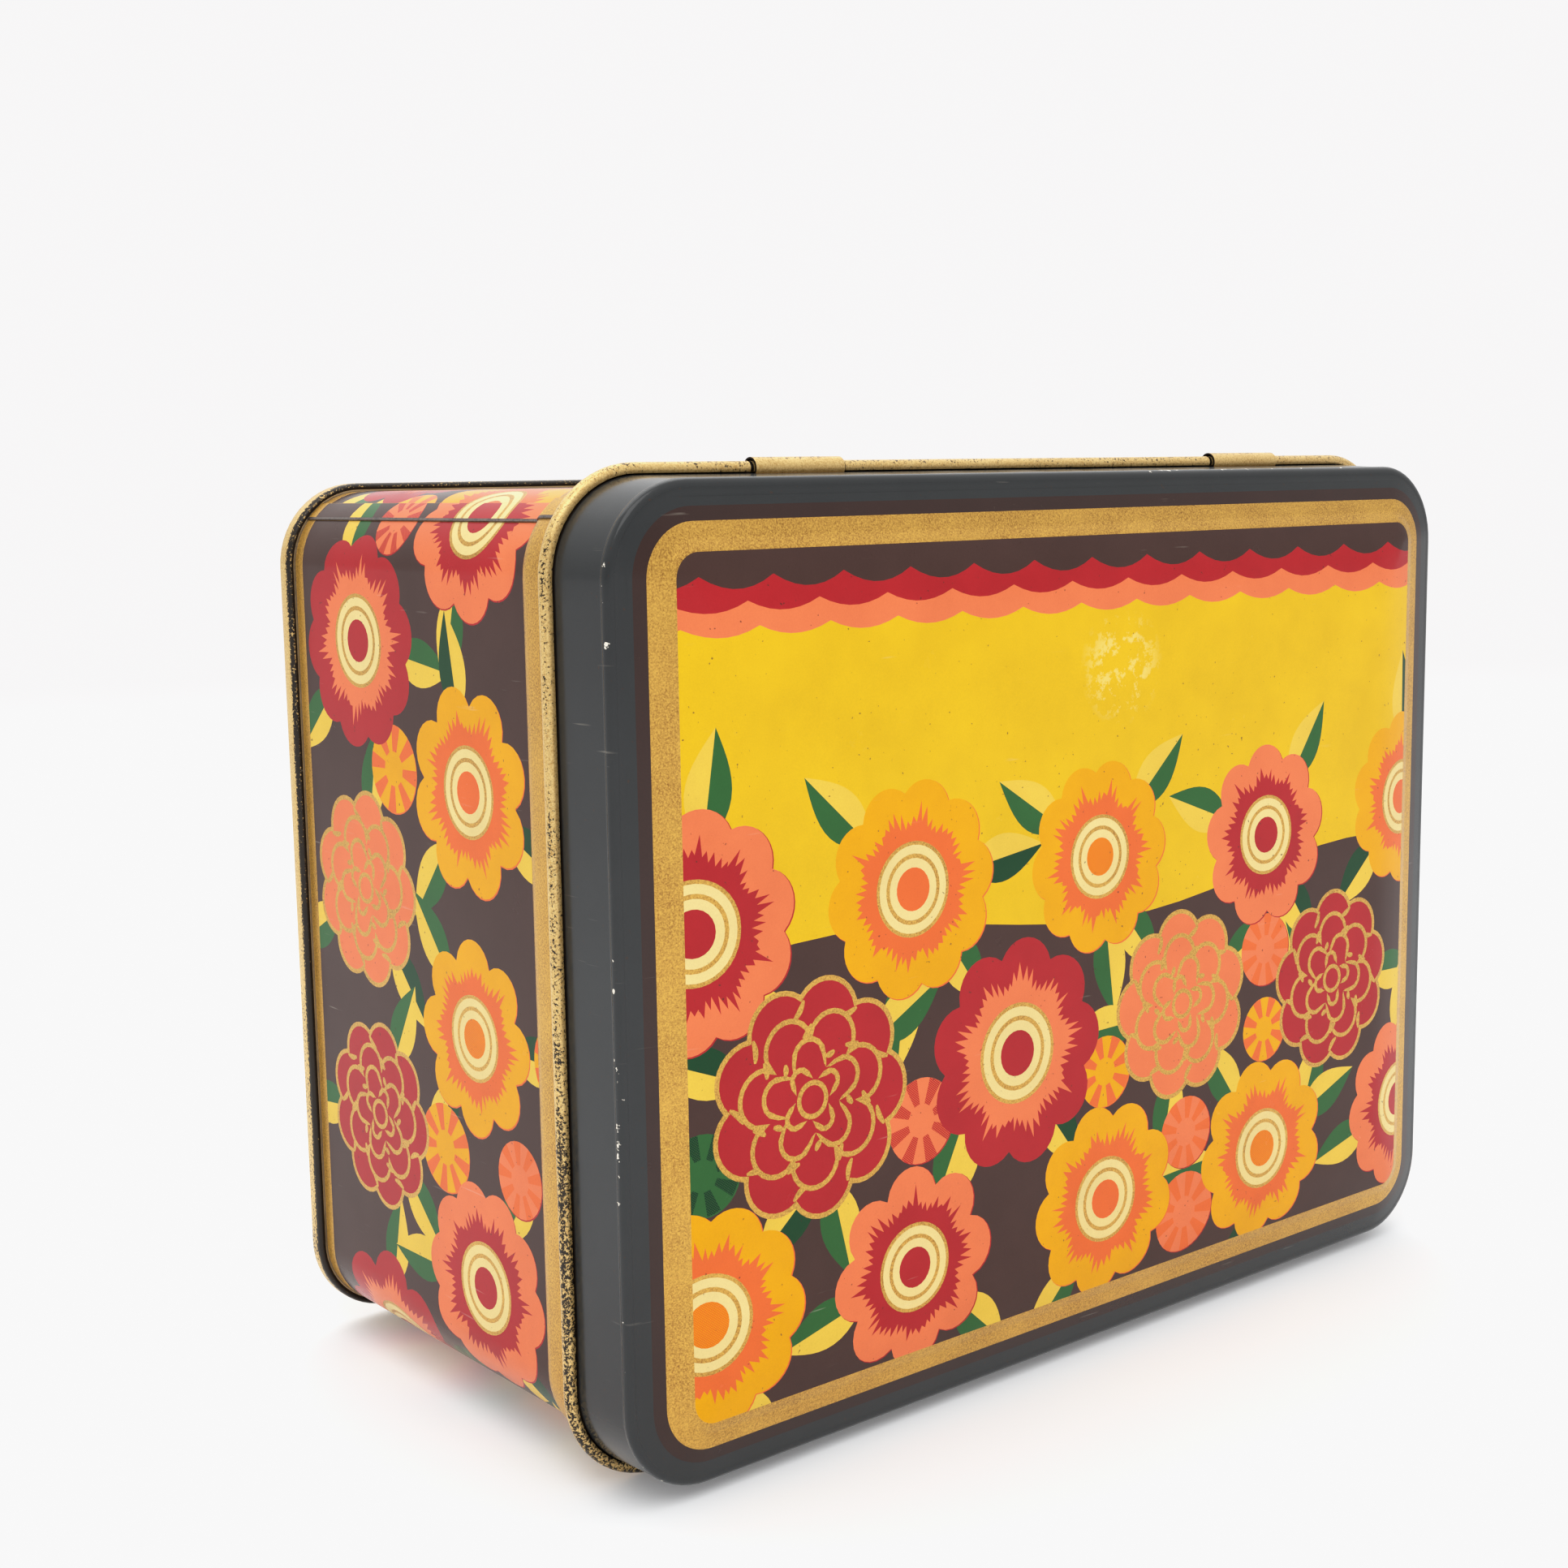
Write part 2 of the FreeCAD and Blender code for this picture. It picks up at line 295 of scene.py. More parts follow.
class Sheet:
    """The flat print: outlines in painting order, each filled with one ink."""

    def __init__(self):
        self.shapes = []

    def fill(self, outline, ink):
        area = sum(a[0] * b[1] - b[0] * a[1]
                   for a, b in zip(outline, outline[1:] + outline[:1]))
        self.shapes.append((outline if area > 0 else outline[::-1], ink))

    def disc(self, x, y, r, ink):
        count = max(12, int(11 * math.sqrt(r)))
        self.fill([polar(x, y, r, 360 * i / count) for i in range(count)], ink)

    def lobes(self, x, y, r, count, ink, turn=0.0, reach=0.69, inset=0.0):
        """A flower outline: count round petals, whose tips reach r."""
        centre = reach * r
        lobe = r - centre - inset
        half = 180 / count
        outline = []
        for petal in range(count):
            for step in range(-5, 5):
                angle = half * step / 5
                across = centre * math.sin(math.radians(angle))
                along = centre * math.cos(math.radians(angle))
                radius = along + math.sqrt(max(0.0, lobe * lobe - across * across))
                outline.append(polar(x, y, radius, turn + 2 * half * petal + angle))
        self.fill(outline, ink)

    def burst(self, x, y, r_low, r_high, strokes, ink, draw, petals, turn):
        """A ragged fringe: pointed strokes, longer towards the middle of each petal."""
        outline = []
        step = 360 / strokes
        for i in range(strokes):
            angle = step * (i + draw.uniform(-0.15, 0.15))
            swell = 0.5 + 0.5 * math.cos(math.radians((angle - turn) * petals))
            middle = r_low + (r_high - r_low) * 0.3 * swell
            tip = middle + (r_high - r_low) * draw.uniform(0.1, 0.42 + 0.3 * swell)
            outline.append(polar(x, y, tip, angle))
            outline.append(polar(x, y, middle * draw.uniform(0.95, 0.99), angle + step * 0.5))
        self.fill(outline, ink)

    def wedges(self, x, y, r_low, r_high, count, share, ink, turn=0.0):
        half = 180 / count * share
        for i in range(count):
            angle = turn + 360 * i / count
            self.fill([polar(x, y, r_low, angle - half * 1.15),
                       polar(x, y, r_high, angle - half),
                       polar(x, y, r_high * 1.004, angle),
                       polar(x, y, r_high, angle + half),
                       polar(x, y, r_low, angle + half * 1.15)], ink)

    def blade(self, x, y, length, width, angle, ink, side):
        """One half of a pointed leaf, on the side that is 1 or -1."""
        steps = 12
        upper = []
        lower = []
        for i in range(steps + 1):
            t = i / steps
            swell = math.sin(math.pi * t ** 0.85) * width / 2
            along = (t - 0.5) * length
            upper.append((along, swell * (side > 0)))
            lower.append((along, -swell * (side < 0)))
        outline = upper + lower[::-1][1:-1]
        self.fill([turned(x, y, px, py, angle) for px, py in outline], ink)

    def leaf(self, x, y, length, width, angle, first, second):
        self.blade(x, y, length, width, angle, first, 1)
        self.blade(x, y, length, width, angle, second, -1)

    def stroke(self, points, width, ink):
        """A brush line through the points, thinner at both ends."""
        line = smooth_line(points)
        left = []
        right = []
        for i, (x, y) in enumerate(line):
            a = line[max(i - 1, 0)]
            b = line[min(i + 1, len(line) - 1)]
            dx, dy = b[0] - a[0], b[1] - a[1]
            size = math.hypot(dx, dy)
            t = i / (len(line) - 1)
            half = width / 2 * (0.35 + 0.65 * math.sin(math.pi * t))
            left.append((x - dy / size * half, y + dx / size * half))
            right.append((x + dy / size * half, y - dx / size * half))
        self.fill(left + right[::-1], ink)

    # The motifs of the print.

    def ringed_flower(self, x, y, r, petals, fringe, core, draw, count=9, turn=0.0):
        edge = EDGES.get(petals, petals)
        self.lobes(x + 0.22, y - 0.18, r + 0.1, count, edge, turn)
        self.lobes(x, y, r, count, petals, turn)
        self.burst(x, y, 0.57 * r, 0.83 * r, int(2.0 * r + 14), fringe, draw, count, turn)
        for share, ink in ((0.44, "gold"), (0.405, "cream"), (0.325, "gold"), (0.285, "cream"),
                           (0.20, core)):
            self.disc(x, y, share * r, ink)

    def rosette(self, x, y, r, ink, turn=0.0):
        line = 0.6 + 0.018 * r
        for ring, (share, count) in enumerate(((1.0, 9), (0.75, 7), (0.52, 5), (0.32, 4))):
            radius = share * r
            phase = turn + 29 * ring
            self.lobes(x, y, radius, count, "gold", phase, 0.66)
            self.lobes(x, y, radius, count, ink, phase, 0.66, line)
            for petal in range(count if ring < 3 else 0):
                angle = phase + 360 * (petal + 0.5) / count
                curl = [polar(x, y, radius * reach, angle + lean) for reach, lean in
                        ((0.82, -2), (0.74, 2), (0.69, 8))]
                self.stroke(curl, line * 1.25, "gold")
        self.disc(x, y, 0.16 * r, "gold")
        self.disc(x, y, 0.16 * r - line, ink)

    def wheel(self, x, y, r, base, spokes, count=8, turn=0.0):
        self.disc(x + 0.2, y - 0.16, r + 0.08, EDGES.get(base, base))
        self.disc(x, y, r, base)
        self.wedges(x, y, 0.4 * r, 0.995 * r, count, 0.48, spokes, turn)


def polar(x, y, r, degrees):
    angle = math.radians(degrees)
    return (x + r * math.cos(angle), y + r * math.sin(angle))


def turned(x, y, px, py, degrees):
    c, s = math.cos(math.radians(degrees)), math.sin(math.radians(degrees))
    return (x + px * c - py * s, y + px * s + py * c)


def smooth_line(points, steps=6):
    """A Catmull-Rom line through the points."""
    last = len(points) - 1
    line = []
    for i in range(last):
        p = [points[min(max(i + k - 1, 0), last)] for k in range(4)]
        for j in range(steps):
            t = j / steps
            line.append(tuple(
                0.5 * (2 * p[1][k] + (p[2][k] - p[0][k]) * t
                       + (2 * p[0][k] - 5 * p[1][k] + 4 * p[2][k] - p[3][k]) * t * t
                       + (3 * p[1][k] - p[0][k] - 3 * p[2][k] + p[3][k]) * t ** 3)
                for k in (0, 1)))
    line.append(points[-1])
    return line


def scallops(low, dip, pitch, start):
    """The lower edge of a hanging band, from right to left, its cusps pointing up."""
    edge = []
    steps = 7
    first = start - pitch
    while first < FACE_W:
        for i in range(steps):
            t = i / steps
            edge.append((first + pitch * t, low - dip * (1 - (2 * t - 1) ** 2)))
        first += pitch
    return [p for p in edge if -4 < p[0] < FACE_W + 4][::-1]


# The large flowers: petals, fringe and core, or the one ink of a rosette.
FLOWERS = (("yellow", "orange", "orange_dots"), ("crimson",), ("coral", "crimson", "crimson"),
           ("crimson", "coral", "crimson"), ("yellow", "orange", "orange"), ("coral",))
WHEELS = (("yellow", "orange"), ("coral", "crimson_dots"), ("green", "green_dots"),
          ("coral", "orange"))
LEAVES = (("green", "straw"), ("straw", "green"), ("straw", "fern"))


def flower_bed(art, start, columns, rows, pitch, gap, size, draw):
    """Staggered rows of large flowers over leaves, with wheels in about half of the gaps."""
    places = [(start[0] + pitch * (column + 0.5 * (row % 2)) + draw.uniform(-2.0, 2.0),
               start[1] + gap * row + draw.uniform(-2.0, 2.0), draw.uniform(*size),
               FLOWERS[(2 * column + row) % len(FLOWERS)])
              for row in reversed(range(rows)) for column in range(columns)]
    for x, y, r, _ in places:
        lean = draw.uniform(0, 360)
        for turn in (0, 105, 235):
            px, py = polar(x, y, r + 4, lean + turn)
            art.leaf(px, py, 22, 10, lean + turn, *draw.choice(LEAVES))
    # A gap's middle is equally far from the three flowers round it.
    reach = (gap * gap + pitch * pitch / 4) / (2 * gap)
    for row in range(-1, rows - 1):
        for column in range(columns):
            x = start[0] + pitch * (column + 0.5 * (row % 2))
            for middle, shift in ((gap - reach, 0.5), (reach, 0.0)):
                if draw.random() < 0.5:
                    continue
                base, spokes = draw.choice(WHEELS)
                art.wheel(x + pitch * shift, start[1] + gap * row + middle,
                          draw.uniform(7.5, 9.5), base, spokes, draw.choice((8, 9)),
                          draw.uniform(0, 40))
    for x, y, r, inks in places:
        turn = draw.uniform(0, 40)
        if len(inks) == 1:
            art.rosette(x, y, r, inks[0], turn)
        else:
            art.ringed_flower(x, y, r, *inks, draw, draw.choice((8, 9, 10)), turn)


def lid_print():
    """The lid's picture: staggered flowers in front of a plain sky, under a scalloped valance."""
    art = Sheet()
    horizon = [(x, 92 + 4 * math.sin(x / 26)) for x in range(0, 231, 10)]
    art.fill(horizon + [(230, 172), (0, 172)], "sky")
    flower_bed(art, (8.0, 26.0), 5, 3, 54.0, 38.0, (20.5, 24.5), random.Random(7))
    for low, dip, start, ink in ((156.3, 1.9, 6, "coral"), (160.9, 2.0, 3.5, "crimson"),
                                 (165.6, 2.5, 10, "ground")):
        art.fill([(-4, 180)] + scallops(low, dip, 17.1, start)[::-1] + [(234, 180)], ink)
    return art


# --------------------------------------------------------------- the outline

def radius_at(out):
    """The corner radius of the outline that lies out beyond the datum."""
    return np.where(out > -9, np.maximum(FACE_R + out, 3.5 - 0.2 * (out + 9)),
                    np.interp(out, (-50, -15, -9), (7.0, 7.0, 3.5)))


class Ring:
    """Stations round the tin, the same for every section, so that rows join in quads."""

    def __init__(self, arc_steps, spacing, cuts=()):
        self.arc = [i / arc_steps for i in range(arc_steps + 1)]
        self.straights = []
        for side in range(4):
            half = (FACE_W if side % 2 == 0 else FACE_H) / 2 - FACE_R
            count = int(2 * half / spacing)
            marks = [i / count for i in range(1, count)]
            if side == 0:
                extra = [(half - x) / (2 * half) for x in cuts]
                marks = [m for m in marks
                         if all(abs(m - e) * 2 * half > spacing * 0.25 for e in extra)]
                marks = sorted(marks + extra)
            self.straights.append(marks)

    def loop(self, out, radius=None):
        """Points and outward directions at every station, anticlockwise from the right."""
        a, b = FACE_W / 2 + out, FACE_H / 2 + out
        r = FACE_R + out if radius is None else radius
        points = []
        facing = []
        for side in range(4):
            sx = 1 if side in (0, 3) else -1
            sz = 1 if side in (0, 1) else -1
            centre = (sx * (a - r), sz * (b - r))
            for t in self.arc:
                points.append(polar(centre[0], centre[1], r, 90 * (side + t)))
                facing.append(polar(0, 0, 1, 90 * (side + t)))
            sx = 1 if (side + 1) % 4 in (0, 3) else -1
            sz = 1 if (side + 1) % 4 in (0, 1) else -1
            end = polar(sx * (a - r), sz * (b - r), r, 90 * (side + 1))
            start = points[-1]
            for t in self.straights[side]:
                points.append((start[0] + (end[0] - start[0]) * t,
                               start[1] + (end[1] - start[1]) * t))
                facing.append(facing[-1])
        return points, facing


def new_object(name, vertices, faces, inks, normals=None, uv=None, sharp=None):
    """A mesh object in metres, its faces inked, smooth, with the slots that it uses."""
    mesh = bpy.data.meshes.new(name)
    mesh.from_pydata([tuple(c * MM for c in v) for v in vertices], [], faces)
    used = [ink for ink in SLOT_ORDER if ink in set(inks)]
    for ink in used:
        mesh.materials.append(INKS[ink])
    mesh.polygons.foreach_set("material_index", [used.index(ink) for ink in inks])
    mesh.polygons.foreach_set("use_smooth", [True] * len(faces))
    layer = mesh.uv_layers.new(name="print")
    if uv is not None:
        corners = np.zeros(len(mesh.loops), dtype=np.int64)
        mesh.loops.foreach_get("vertex_index", corners)
        layer.uv.foreach_set("vector", np.asarray(uv, float)[corners].ravel())
    if sharp is not None:
        mesh.set_sharp_from_angle(angle=math.radians(sharp))
    if normals is not None:
        mesh.normals_split_custom_set_from_vertices(normals)
    mesh.update()
    made = bpy.data.objects.new(name, mesh)
    bpy.context.scene.collection.objects.link(made)
    return made


def triangulated(art, frame_shapes, panel, loops, spots):
    """Cuts the plane along every outline. Each triangle takes the ink of the top shape.

    Shapes of the art count only inside the frame shape whose index is panel.
    """
    shapes = frame_shapes + art.shapes
    coords = []
    faces = []
    edges = []
    for outline, ink in shapes:
        faces.append(list(range(len(coords), len(coords) + len(outline))))
        coords += outline
    for loop in loops:
        first = len(coords)
        coords += loop
        edges += [(first + i, first + (i + 1) % len(loop)) for i in range(len(loop))]
    coords += spots
    result = delaunay_2d_cdt([Vector(c) for c in coords], edges, faces, 0, 1e-4, True)
    points, triangles, inside = result[0], result[2], result[5]
    kept = []
    inks = []
    for triangle, holders in zip(triangles, inside):
        if 0 not in holders:
            continue
        if panel not in holders:
            holders = [h for h in holders if h < len(frame_shapes)]
        kept.append(list(triangle))
        inks.append(shapes[max(holders)][1])
    return [tuple(p) for p in points], kept, inks


# ------------------------------------------------------------------- the lid

LID_FACE = [(6.1, 1.22), (-3.1, -0.62), (-3.5, -0.76), (-5.1, -1.38), (-5.6, -1.5),
            (-9.0, -2.13), (-15.0, -2.95), (-50.0, DOME), (-90.0, DOME)]
FINE_OUT = np.arange(-90.0, 6.5, 0.05)
FINE_DEPTH = np.interp(FINE_OUT, [s[0] for s in LID_FACE[::-1]], [s[1] for s in LID_FACE[::-1]])


def softened(values, half):
    """The running mean over 2 * half + 1 samples, with the ends carried on straight."""
    start, end = values[1] - values[0], values[-1] - values[-2]
    steps = np.arange(1, half + 1)
    padded = np.concatenate([values[0] - start * steps[::-1], values, values[-1] + end * steps])
    total = np.cumsum(np.insert(padded, 0, 0.0))
    width = 2 * half + 1
    return (total[width:] - total[:-width]) / width


CRISP = softened(FINE_DEPTH, 5)
SOFT = softened(softened(FINE_DEPTH, 60), 60)
SHARE = np.clip((-6.5 - FINE_OUT) / 5, 0, 1)
LID_DEPTH = CRISP * (1 - SHARE) + SOFT * SHARE


def out_of(x, z):
    """How far each point of the face lies beyond the datum; negative inside."""
    ax, az = np.abs(x), np.abs(z)
    out = np.maximum(ax - FACE_W / 2, az - FACE_H / 2)
    for _ in range(14):
        half_x, half_z = FACE_W / 2 + out, FACE_H / 2 + out
        r = np.minimum(radius_at(out), np.minimum(half_x, half_z))
        qx, qz = ax - half_x + r, az - half_z + r
        distance = (np.hypot(np.maximum(qx, 0), np.maximum(qz, 0))
                    + np.minimum(np.maximum(qx, qz), 0) - r)
        out = out + 0.8 * distance
    return out


def lid_depth(x, z):
    return np.interp(out_of(x, z), FINE_OUT, LID_DEPTH)


def lid_face(ring):
    """The lid's printed front, from the turned edge inwards."""
    art = lid_print()
    shift = (FACE_W / 2, FACE_H / 2)
    outline = [ring.loop(out)[0] for out in (6.1, STRIPE, 0.0, -BORDER)]
    shapes = [(outline[0], "grey"), (outline[1], "stripe"), (outline[2], "gold"),
              (outline[3], "ground")]
    moved = Sheet()
    for points, ink in art.shapes:
        moved.fill([(x - shift[0], y - shift[1]) for x, y in points], ink)
    loops = []
    for out in np.concatenate([np.arange(5.2, -2.6, -0.9), np.arange(-2.8, -6.0, -0.4),
                               np.arange(-6.5, -16.5, -1.0), (-18.0, -21.0, -25.0, -31.0)]):
        if abs(out + BORDER) > 0.15 and abs(out) > 0.15:
            loops.append(ring.loop(float(out), float(radius_at(np.array(out))))[0])
    spots = [(x * 8.0 + (z % 2) * 4.0, z * 7.0) for x in range(-11, 11) for z in range(-8, 9)]
    points, faces, inks = triangulated(moved, shapes, 3, loops, spots)
    flat = np.array(points)
    x, z = flat[:, 0], flat[:, 1]
    depth = lid_depth(x, z)
    step = 0.15
    slope_x = (lid_depth(x + step, z) - lid_depth(x - step, z)) / (2 * step)
    slope_z = (lid_depth(x, z + step) - lid_depth(x, z - step)) / (2 * step)
    normals = np.stack([slope_x, -np.ones_like(x), slope_z], 1)
    normals /= np.linalg.norm(normals, axis=1)[:, None]
    vertices = np.stack([x, Y_FACE + depth, Z_MID + z], 1)
    return new_object("lid_face", vertices.tolist(), faces, inks,
                      normals.tolist(), flat)


def rim_rows():
    """The lid's sheet from the face round the edge to the tip of the curl.

    Each row is the outer (out, depth), the inner one, and the ink of the strip after it.
    """
    rows = [((6.1, 1.22), (5.95, 1.52), "grey"), ((6.55, 1.3), (6.4, 1.6), "grey"),
            ((6.95, 1.42), (6.8, 1.72), "grey"), ((7.3, 1.64), (7.08, 1.9), "grey"),
            ((7.55, 1.95), (7.27, 2.15), "grey"), ((7.7, 2.35), (7.4, 2.45), "grey"),
            ((7.75, 2.75), (7.45, 2.85), "grey"), ((7.72, 3.0), (7.42, 3.1), "grey"),
            ((7.6, 3.2), (7.3, 3.3), "grey")]
    for depth in (3.6, 5.0, 7.5, 10.0, 12.5, SLIT_FRONT):
        out = 7.62 + 0.66 * (depth - 3.6) / (SLIT_FRONT - 3.6)
        rows.append(((out, depth), (out - SHEET, depth), "grey"))
    # Painted shade: from here the outer side, the fillet into the curl and the curl's hidden
    # inner side, is near-black.
    rows.append(((8.35, 16.8), (8.05, 16.8), "painted_shade"))
    for step in range(CURL_ROWS):
        angle = math.radians(-90 + CURL_TURN * step / (CURL_ROWS - 1))
        pair = [(BEAD_OUT + r * math.sin(angle), BEAD_DEPTH + r * math.cos(angle))
                for r in (BEAD_R - SHEET, BEAD_R)]
        rows.append((pair[0], pair[1], "painted_shade"))
    return rows


def sheet_mesh(ring, rows, gone=lambda row, x0, z0, x1, z1: False,
               inner_ink=lambda row: "tin"):
    """A closed sheet round the tin. gone says which cells are cut away."""
    vertices = []
    uv = []
    loops = []
    for outer, inside, ink in rows:
        for out, depth in (outer, inside):
            points, _ = ring.loop(out, max(FACE_R + out, 1.0))
            loops.append(points)
            for i, (px, pz) in enumerate(points):
                vertices.append((px, Y_FACE + depth, Z_MID + pz))
                uv.append((i * 3.0, depth))
    count = len(loops[0])

    def vertex(row, side, column):
        return (2 * row + side) * count + column % count

    alive = [[not gone(row, *loops[2 * row][column], *loops[2 * row][(column + 1) % count])
              for column in range(count)] for row in range(len(rows) - 1)]
    faces = []
    inks = []
    for row in range(len(rows) - 1):
        ink = rows[row][2]
        below = inner_ink(row)
        for column in range(count):
            if not alive[row][column]:
                continue
            a, b = column, column + 1
            faces.append([vertex(row, 0, a), vertex(row, 0, b), vertex(row + 1, 0, b),
                          vertex(row + 1, 0, a)])
            inks.append(ink)
            faces.append([vertex(row, 1, a), vertex(row + 1, 1, a), vertex(row + 1, 1, b),
                          vertex(row, 1, b)])
            inks.append(below)
            if row == len(rows) - 2 or not alive[row + 1][column]:
                faces.append([vertex(row + 1, 0, a), vertex(row + 1, 0, b),
                              vertex(row + 1, 1, b), vertex(row + 1, 1, a)])
                inks.append(ink)
            if row and not alive[row - 1][column]:
                faces.append([vertex(row, 0, b), vertex(row, 0, a), vertex(row, 1, a),
                              vertex(row, 1, b)])
                inks.append(ink)
            # The cut sides beside a gap take the near-black ink of painted shade.
            for beside, edge in ((column - 1, a), (column + 1, b)):
                if not alive[row][beside % count]:
                    quad = [vertex(row, 0, edge), vertex(row + 1, 0, edge),
                            vertex(row + 1, 1, edge), vertex(row, 1, edge)]
                    faces.append(quad if edge == a else quad[::-1])
                    inks.append("painted_shade")
    return vertices, faces, inks, uv


def lid_rim(ring):
    rows = rim_rows()
    slit_row = next(i for i, row in enumerate(rows) if abs(row[0][1] - SLIT_FRONT) < 1e-6)
    curl_row = len(rows) - CURL_ROWS

    def gone(row, x0, z0, x1, z1):
        """The slits, and the notches that they leave in the curl beside the tabs."""
        off = min(abs((x0 + x1) / 2 - centre) for centre in TAB_CENTRES)
        return (slit_row <= row and z0 > FACE_H / 2 and z1 > FACE_H / 2
                and off < TAB_W / 2 + SLIT_SIDE and (row < curl_row or off > TAB_W / 2))

    vertices, faces, inks, uv = sheet_mesh(
        ring, rows, gone,
        inner_ink=lambda row: "worn_gold" if row >= curl_row + 2 else "tin")
    # The inside of the panel: rings inwards from the edge, closed by one flat plate.
    count = len(ring.loop(0.0)[0])
    last = [count + i for i in range(count)]
    for out in (4.0, 1.5, -1.0, -3.2, -5.2, -7.5, -9.0, -12.0, -15.0, -22.0, -32.0, -50.0):
        r = float(radius_at(np.array(out)))
        depth = float(np.interp(out, FINE_OUT, LID_DEPTH)) + SHEET
        first = len(vertices)
        for i, (px, pz) in enumerate(ring.loop(out, r)[0]):
            vertices.append((px, Y_FACE + depth, Z_MID + pz))
            uv.append((i * 3.0, depth))
        row = [first + i for i in range(count)]
        for i in range(count):
            j = (i + 1) % count
            faces.append([last[i], last[j], row[j], row[i]])
            inks.append("tin")
        last = row
    faces.append(last)
    inks.append("tin")
    return new_object("lid_rim", vertices, faces, inks, None, uv, 40.0)


# ------------------------------------------------------------------ the body

BAND = [(5.9, 20.4), (6.25, 20.5), (6.75, 20.9), (7.0, 21.6), (7.1, 22.4), (7.1, 28.3),
        (7.0, 29.3), (6.75, 30.1), (6.3, 30.65), (5.9, 30.9)]
WALL_R = FACE_R + WALL_OUT
HALF_X = FACE_W / 2 - FACE_R
HALF_Z = FACE_H / 2 - FACE_R
ARC = math.pi / 2 * WALL_R
LENGTH = 4 * ARC + 4 * HALF_X + 4 * HALF_Z
SEAM_ARC = math.radians(LAP_ANGLE) * WALL_R
UNDER_PRINT = 0.15        # how far the lining lies under the printed wall


def wall_point(s):
    """The place (x, z) and the direction outwards, s round the wall from its side seam."""
    s = (s + 2 * ARC - SEAM_ARC + 2 * HALF_X) % LENGTH
    for side in range(4):
        sx = 1 if side in (0, 3) else -1
        sz = 1 if side in (0, 1) else -1
        start = 90 * side
        if s < ARC:
            angle = start + 90 * s / ARC
            return polar(sx * HALF_X, sz * HALF_Z, WALL_R, angle), polar(0, 0, 1, angle)
        s -= ARC
        run = 2 * (HALF_X if side % 2 == 0 else HALF_Z)
        if s < run:
            p = polar(sx * HALF_X, sz * HALF_Z, WALL_R, start + 90)
            along = polar(0, 0, 1, start + 180)
            return (p[0] + along[0] * s, p[1] + along[1] * s), polar(0, 0, 1, start + 90)
        s -= run
    return wall_point(0.0)


def wall_stations():
    """Where lines cross the wall so that its corners stay round."""
    stations = []
    base = -(2 * ARC - SEAM_ARC + 2 * HALF_X)
    for side in range(4):
        for i in range(13):
            stations.append((base + ARC * i / 12) % LENGTH)
        base += ARC + 2 * (HALF_X if side % 2 == 0 else HALF_Z)
    return sorted(stations)


def wall_patch(first, last, grow):
    """The printed wall between two stations, grow further out than the sheet."""
    art = Sheet()
    pitch = LENGTH / 16
    flower_bed(art, (-pitch, 54.0), 19, 2, pitch, 44.0, (19.5, 23.5), random.Random(21))
    in_s, in_depth = 0.04, 0.15      # the ground stops just inside its gold frame
    shapes = [([(first, BAND_BACK), (last, BAND_BACK), (last, STRIP_BACK),
                (first, STRIP_BACK)], "gold"),
              ([(first + in_s, BAND_BACK + in_depth), (last - in_s, BAND_BACK + in_depth),
                (last - in_s, STRIP_FRONT), (first + in_s, STRIP_FRONT)], "ground")]
    kept = Sheet()
    kept.shapes = [(points, ink) for points, ink in art.shapes
                   if max(p[0] for p in points) > first and min(p[0] for p in points) < last]
    marks = [s for s in wall_stations() + [s - LENGTH for s in wall_stations()]
             if first < s < last]
    lines = [[(s, BAND_BACK), (s, STRIP_BACK)] for s in marks]
    points, faces, inks = triangulated(kept, shapes, 1, lines, [])
    vertices = []
    normals = []
    for s, depth in points:
        (px, pz), (nx, nz) = wall_point(s)
        vertices.append((px + nx * grow, Y_FACE + depth, Z_MID + pz + nz * grow))
        normals.append((nx, 0.0, nz))
    return vertices, [f[::-1] for f in faces], inks, normals, points


def wall_rows():
    rows = [((5.9, 4.5), (5.6, 4.5), "gold"), ((5.9, 12.0), (5.6, 12.0), "gold"),
            ((5.9, 19.8), (5.6, 19.8), "gold")]
    rows += [((out, depth), (out - SHEET, depth), "gold") for out, depth in BAND]
    return rows


def wall_parts(ring):
    """The printed wall, and under it the band, mouth and lining as one closed sheet."""
    vertices, faces, inks, normals, uv = wall_patch(0.0, LENGTH, 0.0)
    printed = new_object("wall_print", vertices, faces, inks, normals, uv)
    rows = wall_rows()
    # Just behind the band the lining drops under the print, so that no corner pokes through.
    for depth, ink in ((BAND_BACK + 0.12, "gold"), (60.0, "ground"), (100.0, "ground"),
                       (STRIP_BACK, "gold"), (127.7, "gold")):
        rows.append(((WALL_OUT - UNDER_PRINT, depth), (WALL_OUT - SHEET, depth), ink))
    vertices, faces, inks, uv = sheet_mesh(ring, rows)
    lining = new_object("wall_lining", vertices, faces, inks, None, uv, 40.0)
    return printed, lining


ring = Ring(14, 5.0, [c + s * (TAB_W / 2 + gap) for c in TAB_CENTRES for s in (1, -1)
                      for gap in (0.05, SLIT_SIDE)])
face = lid_face(ring)
rim = lid_rim(ring)
printed, lining = wall_parts(ring)


